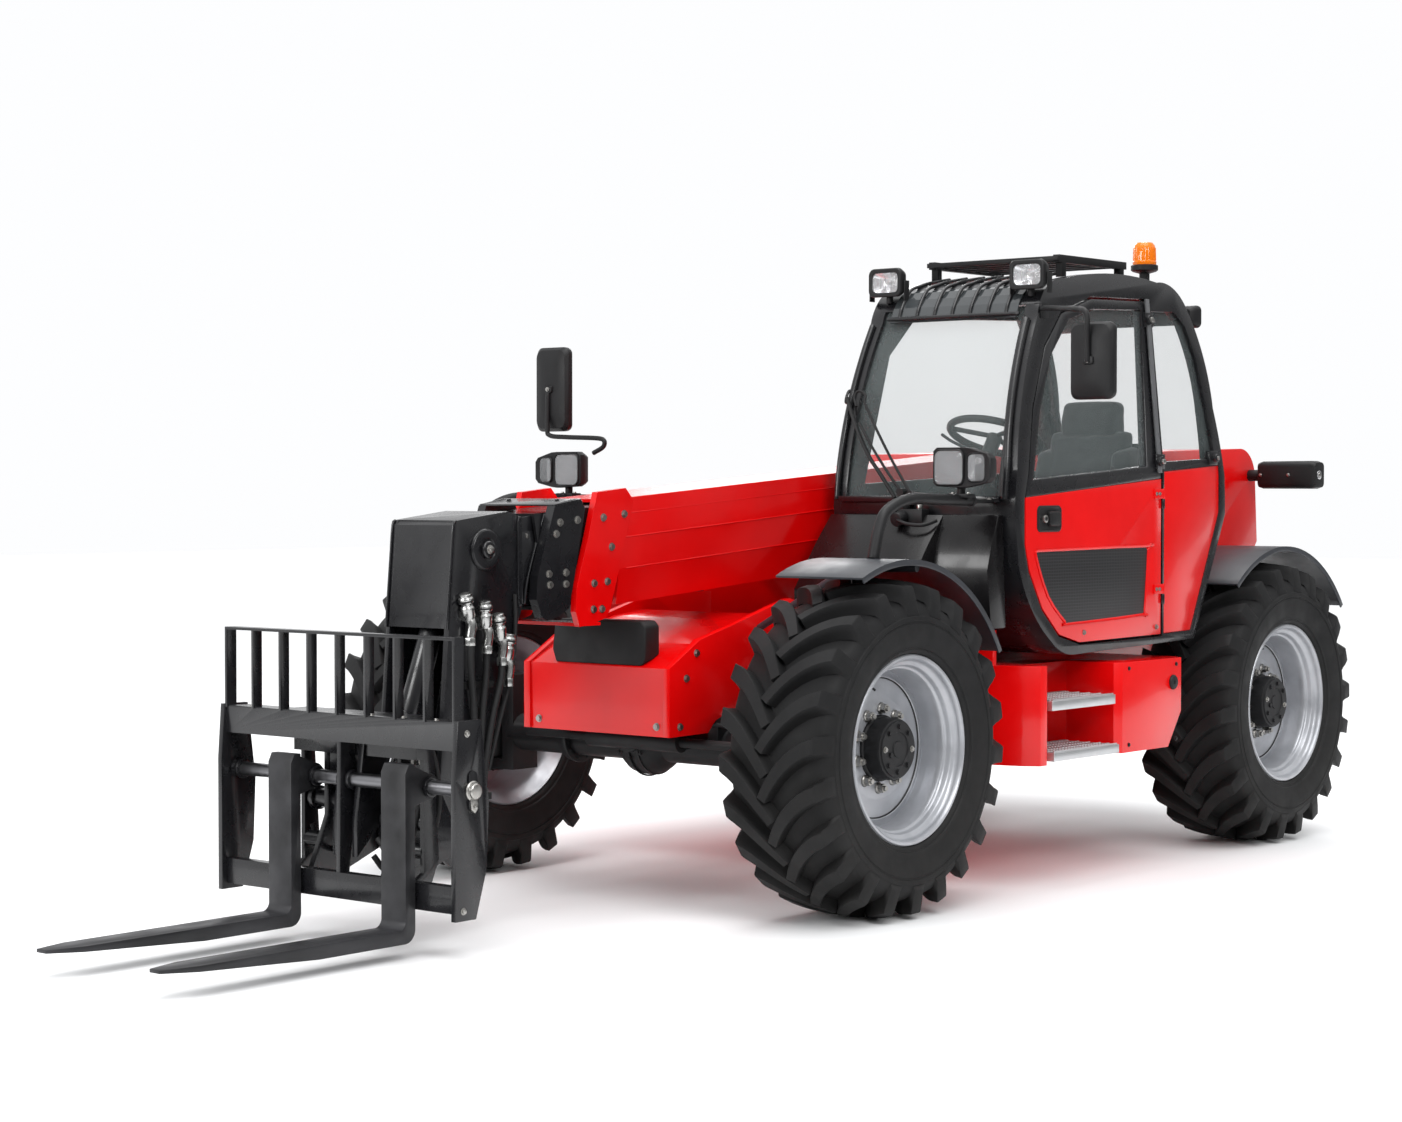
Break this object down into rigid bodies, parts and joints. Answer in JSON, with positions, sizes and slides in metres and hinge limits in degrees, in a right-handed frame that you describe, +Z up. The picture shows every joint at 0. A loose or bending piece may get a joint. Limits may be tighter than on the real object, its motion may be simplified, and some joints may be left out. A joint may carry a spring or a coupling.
{
  "type": "telehandler",
  "caption": "Four-wheel telescopic handler with a side cab, a boom in sections that lifts and extends, and pallet forks on a tilting carriage.",
  "frame": {"origin": "on the ground, on the centre line, midway between the axles", "axes": "+X forward to the forks, +Y to the left (cab side), +Z up"},
  "size_m": [6.272, 2.733, 2.5998],
  "materials": {
    "red_paint": "gloss",
    "black_paint": "satin",
    "grey_plastic": "satin",
    "rim_silver": "satin",
    "tyre": "matte",
    "rubber": "matte",
    "glass": "gloss",
    "aluminium": "brushed",
    "cast": "satin",
    "chrome": "polished",
    "amber": "gloss",
    "lamp": "gloss",
    "seat_fabric": "matte"
  },
  "bodies": {
    "chassis": {"chassis_frame": "red_paint", "counterweight": "black_paint", "tow_hitch": "black_paint", "front_axle": "black_paint", "rear_axle": "black_paint", "drive_line": "cast", "engine_block": "cast", "engine_bay": "red_paint", "side_box": "red_paint", "steps": "aluminium", "fenders": "grey_plastic", "cab_frame": "black_paint", "cab_glass": "glass", "cab_quarter_panel": "red_paint", "cab_cowl": "black_paint", "roof_guard": "black_paint", "seat": "seat_fabric", "dashboard": "grey_plastic", "headlights": "lamp", "work_lights": "lamp", "mirrors": "grey_plastic", "beacon": "amber", "rear_cowls": "red_paint", "tail_lights": "lamp", "boom_rest": "rubber"},
    "door": {"door_panel": "red_paint", "door_frame": "black_paint", "door_glass": "glass"},
    "hood": {"engine_hood": "red_paint"},
    "boom": {"boom_outer": "red_paint"},
    "boom_second": {"boom_mid": "black_paint"},
    "boom_third": {"boom_inner": "black_paint"},
    "carriage": {"fork_carriage": "black_paint", "fork_shaft": "chrome"},
    "left_fork": {"fork_left": "black_paint"},
    "right_fork": {"fork_right": "black_paint"},
    "lift_cylinder": {"lift_barrel": "black_paint"},
    "lift_piston": {"lift_rod": "chrome"},
    "tilt_cylinder": {"tilt_barrel": "black_paint"},
    "tilt_piston": {"tilt_rod": "chrome"},
    "front_left_hub": {"front_left_knuckle": "cast"},
    "front_left_wheel": {"front_left_rim": "rim_silver", "front_left_tyre": "tyre"},
    "front_right_hub": {"front_right_knuckle": "cast"},
    "front_right_wheel": {"front_right_rim": "rim_silver", "front_right_tyre": "tyre"},
    "rear_left_hub": {"rear_left_knuckle": "cast"},
    "rear_left_wheel": {"rear_left_rim": "rim_silver", "rear_left_tyre": "tyre"},
    "rear_right_hub": {"rear_right_knuckle": "cast"},
    "rear_right_wheel": {"rear_right_rim": "rim_silver", "rear_right_tyre": "tyre"}
  },
  "joints": [
    {"name": "boom_lift", "type": "hinge", "parent": "chassis", "child": "boom", "pos_m": [-1.55, 0, 1.56], "axis": [0, -1, 0], "range_deg": [0, 65]},
    {"name": "boom_extend", "type": "slide", "parent": "boom", "child": "boom_second", "axis": [0.9972, 0, -0.0745], "range_m": [0, 2.4]},
    {"name": "boom_third_extend", "type": "slide", "parent": "boom_second", "child": "boom_third", "axis": [0.9972, 0, -0.0745], "range_m": [0, 2.4]},
    {"name": "carriage_tilt", "type": "hinge", "parent": "boom_third", "child": "carriage", "pos_m": [2.64, 0, 0.33], "axis": [0, 1, 0], "range_deg": [-12, 90]},
    {"name": "left_fork_float", "type": "hinge", "parent": "carriage", "child": "left_fork", "pos_m": [3.016, 0.328, 0.56], "axis": [0, -1, 0], "range_deg": [0, 30]},
    {"name": "right_fork_float", "type": "hinge", "parent": "carriage", "child": "right_fork", "pos_m": [3.016, -0.228, 0.56], "axis": [0, -1, 0], "range_deg": [0, 30]},
    {"name": "lift_cylinder_swing", "type": "hinge", "parent": "chassis", "child": "lift_cylinder", "pos_m": [-1.25, 0, 0.86], "axis": [0, -1, 0], "range_deg": [0, 56]},
    {"name": "lift_rod_stroke", "type": "slide", "parent": "lift_cylinder", "child": "lift_piston", "axis": [0.9754, 0, 0.2205], "range_m": [0, 0.783]},
    {"name": "tilt_cylinder_swing", "type": "hinge", "parent": "boom_third", "child": "tilt_cylinder", "pos_m": [2.52, 0, 1.33], "axis": [0, 1, 0], "range_deg": [-0.8, 5.7]},
    {"name": "tilt_rod_stroke", "type": "slide", "parent": "tilt_cylinder", "child": "tilt_piston", "axis": [0.3473, 0, -0.9377], "range_m": [-0.048, 0.357]},
    {"name": "door_swing", "type": "hinge", "parent": "chassis", "child": "door", "pos_m": [-0.48, 1.1, 1.6], "axis": [0, 0, 1], "range_deg": [0, 85]},
    {"name": "hood_lift", "type": "hinge", "parent": "chassis", "child": "hood", "pos_m": [0, -0.345, 1.372], "axis": [-1, 0, 0], "range_deg": [0, 60]},
    {"name": "front_left_steer", "type": "hinge", "parent": "chassis", "child": "front_left_hub", "pos_m": [1.405, 0.89, 0.61], "axis": [0, 0, 1], "range_deg": [-35, 35]},
    {"name": "front_left_spin", "type": "hinge", "parent": "front_left_hub", "child": "front_left_wheel", "pos_m": [1.405, 0.98, 0.61], "axis": [0, 1, 0], "continuous": true},
    {"name": "front_right_steer", "type": "hinge", "parent": "chassis", "child": "front_right_hub", "pos_m": [1.405, -0.89, 0.61], "axis": [0, 0, 1], "range_deg": [-35, 35]},
    {"name": "front_right_spin", "type": "hinge", "parent": "front_right_hub", "child": "front_right_wheel", "pos_m": [1.405, -0.98, 0.61], "axis": [0, 1, 0], "continuous": true},
    {"name": "rear_left_steer", "type": "hinge", "parent": "chassis", "child": "rear_left_hub", "pos_m": [-1.405, 0.89, 0.61], "axis": [0, 0, -1], "range_deg": [-35, 35]},
    {"name": "rear_left_spin", "type": "hinge", "parent": "rear_left_hub", "child": "rear_left_wheel", "pos_m": [-1.405, 0.98, 0.61], "axis": [0, 1, 0], "continuous": true},
    {"name": "rear_right_steer", "type": "hinge", "parent": "chassis", "child": "rear_right_hub", "pos_m": [-1.405, -0.89, 0.61], "axis": [0, 0, -1], "range_deg": [-35, 35]},
    {"name": "rear_right_spin", "type": "hinge", "parent": "rear_right_hub", "child": "rear_right_wheel", "pos_m": [-1.405, -0.98, 0.61], "axis": [0, 1, 0], "continuous": true}
  ],
  "couplings": [
    {"joint": "boom_third_extend", "follows": "boom_extend", "ratio": 1},
    {"joint": "lift_cylinder_swing", "follows": "boom_lift", "ratio": 0.8614},
    {"joint": "lift_rod_stroke", "follows": "boom_lift", "m_per_rad": 0.69},
    {"joint": "tilt_cylinder_swing", "follows": "carriage_tilt", "ratio": 0.0623},
    {"joint": "tilt_rod_stroke", "follows": "carriage_tilt", "m_per_rad": 0.2268},
    {"joint": "front_right_steer", "follows": "front_left_steer", "ratio": 1},
    {"joint": "rear_right_steer", "follows": "rear_left_steer", "ratio": 1}
  ]
}
